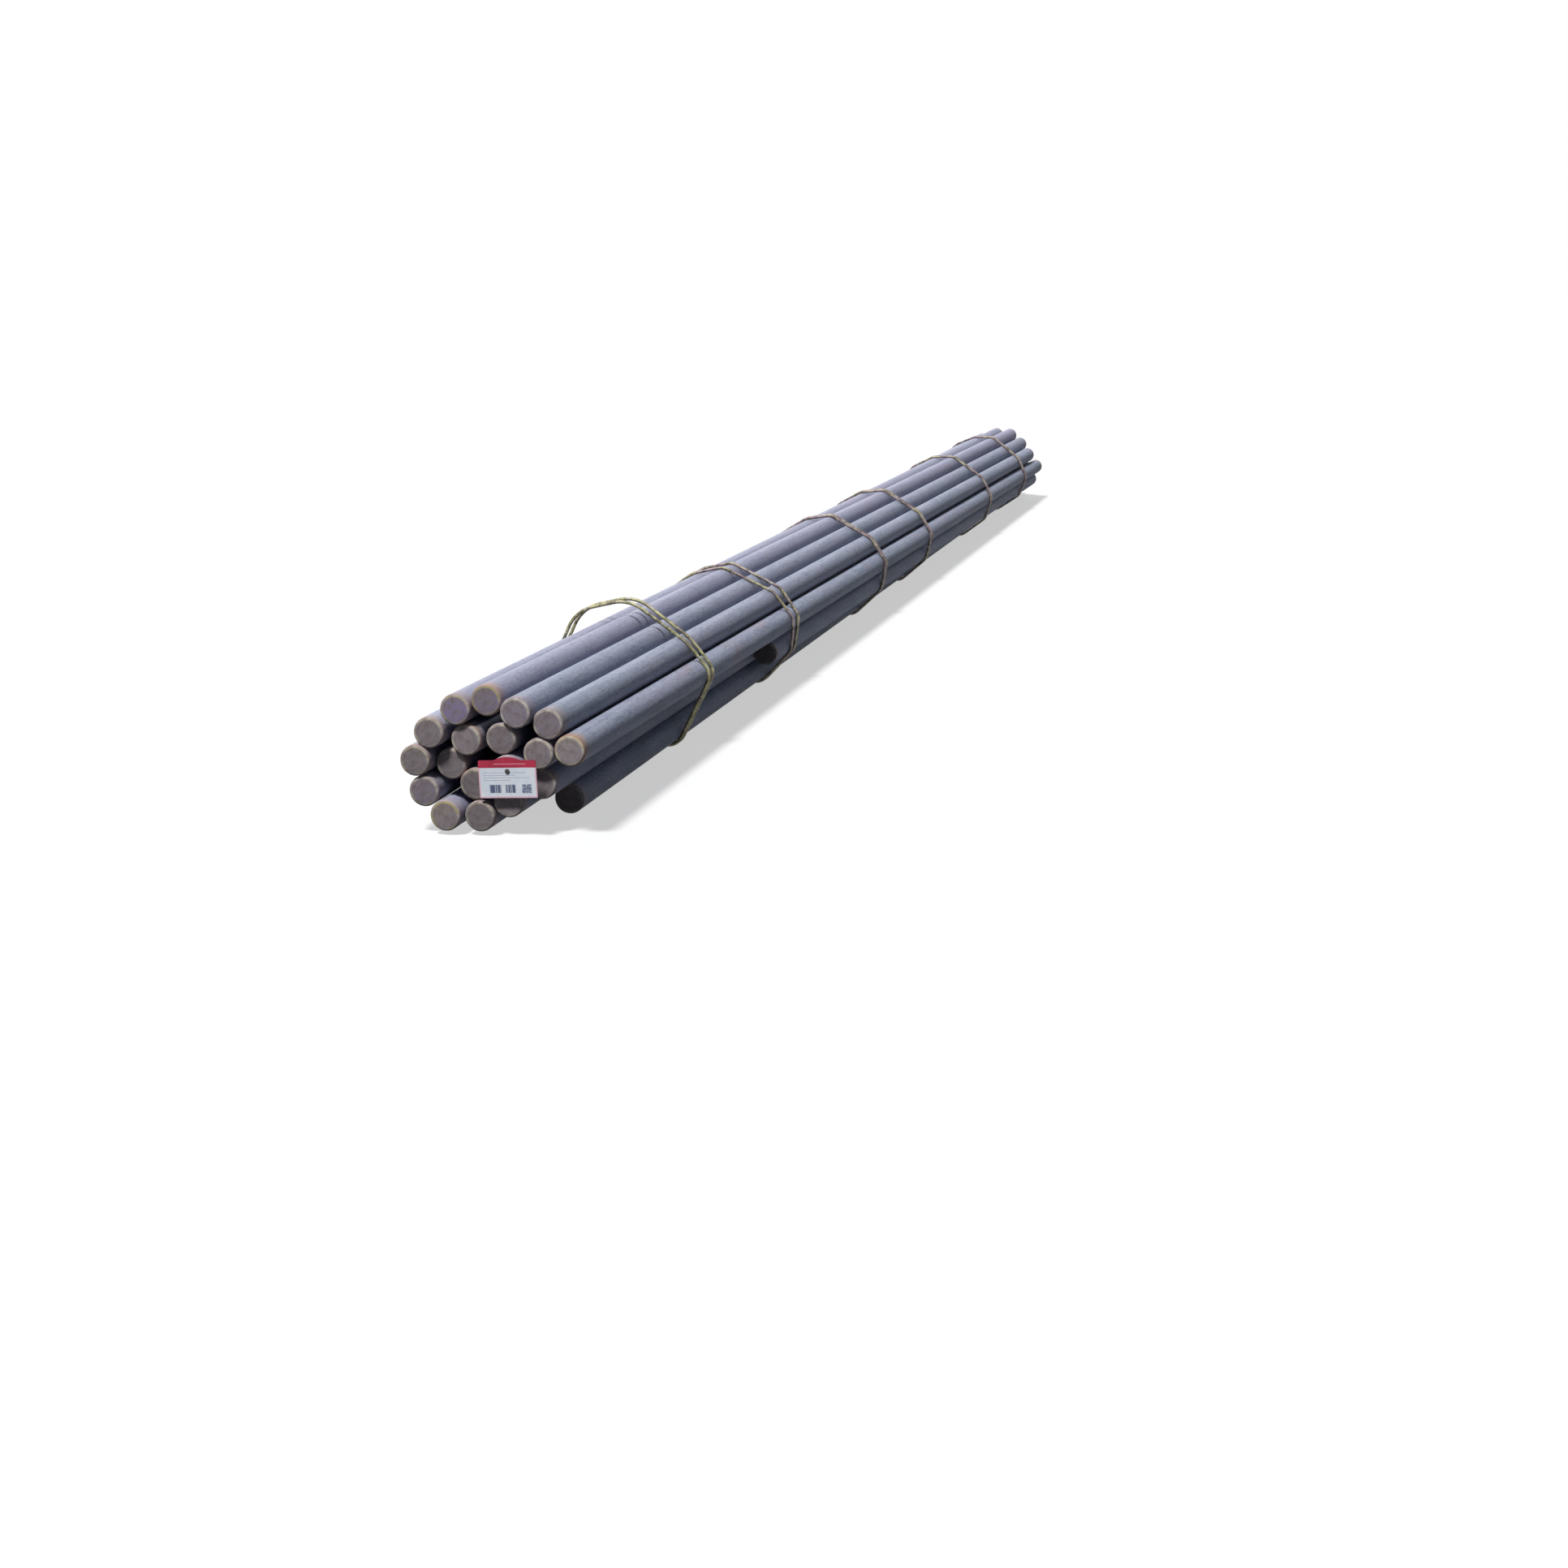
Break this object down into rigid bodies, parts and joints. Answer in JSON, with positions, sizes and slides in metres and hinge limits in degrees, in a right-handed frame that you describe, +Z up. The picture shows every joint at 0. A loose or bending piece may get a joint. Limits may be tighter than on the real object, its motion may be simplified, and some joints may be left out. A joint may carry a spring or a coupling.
{
  "type": "round steel bar bundle",
  "caption": "Bundle of plain hot-rolled round steel bars with uneven ends, bound with double turns of twisted wire and labelled with a plastic tag nailed to one end.",
  "frame": {"origin": "middle of the underside of the bundle's bounding box, on the floor", "axes": "+Y along the bars from the end with the tag to the far end, +Z up, +X to the right when the tagged end is seen from the front"},
  "size_m": [0.3698, 6.1684, 0.2753],
  "materials": {
    "bar_steel": "hot-rolled, blue-grey mill scale with light rust",
    "tie_wire": "plain annealed wire, rusty",
    "tag_plastic": "pale printed plastic, red head band",
    "nail_steel": "dark steel"
  },
  "bodies": {
    "root": {"bundle_tag": "tag_plastic", "round_bar_01": "bar_steel", "round_bar_02": "bar_steel", "round_bar_03": "bar_steel", "round_bar_04": "bar_steel", "round_bar_05": "bar_steel", "round_bar_06": "bar_steel", "round_bar_07": "bar_steel", "round_bar_08": "bar_steel", "round_bar_09": "bar_steel", "round_bar_10": "bar_steel", "round_bar_11": "bar_steel", "round_bar_12": "bar_steel", "round_bar_13": "bar_steel", "round_bar_14": "bar_steel", "round_bar_15": "bar_steel", "round_bar_16": "bar_steel", "round_bar_17": "bar_steel", "round_bar_18": "bar_steel", "round_bar_19": "bar_steel", "short_bar": "bar_steel", "tag_nail": "nail_steel", "wire_tie_1": "tie_wire", "wire_tie_2": "tie_wire", "wire_tie_3": "tie_wire", "wire_tie_4": "tie_wire", "wire_tie_5": "tie_wire", "wire_tie_6": "tie_wire"}
  },
  "joints": []
}
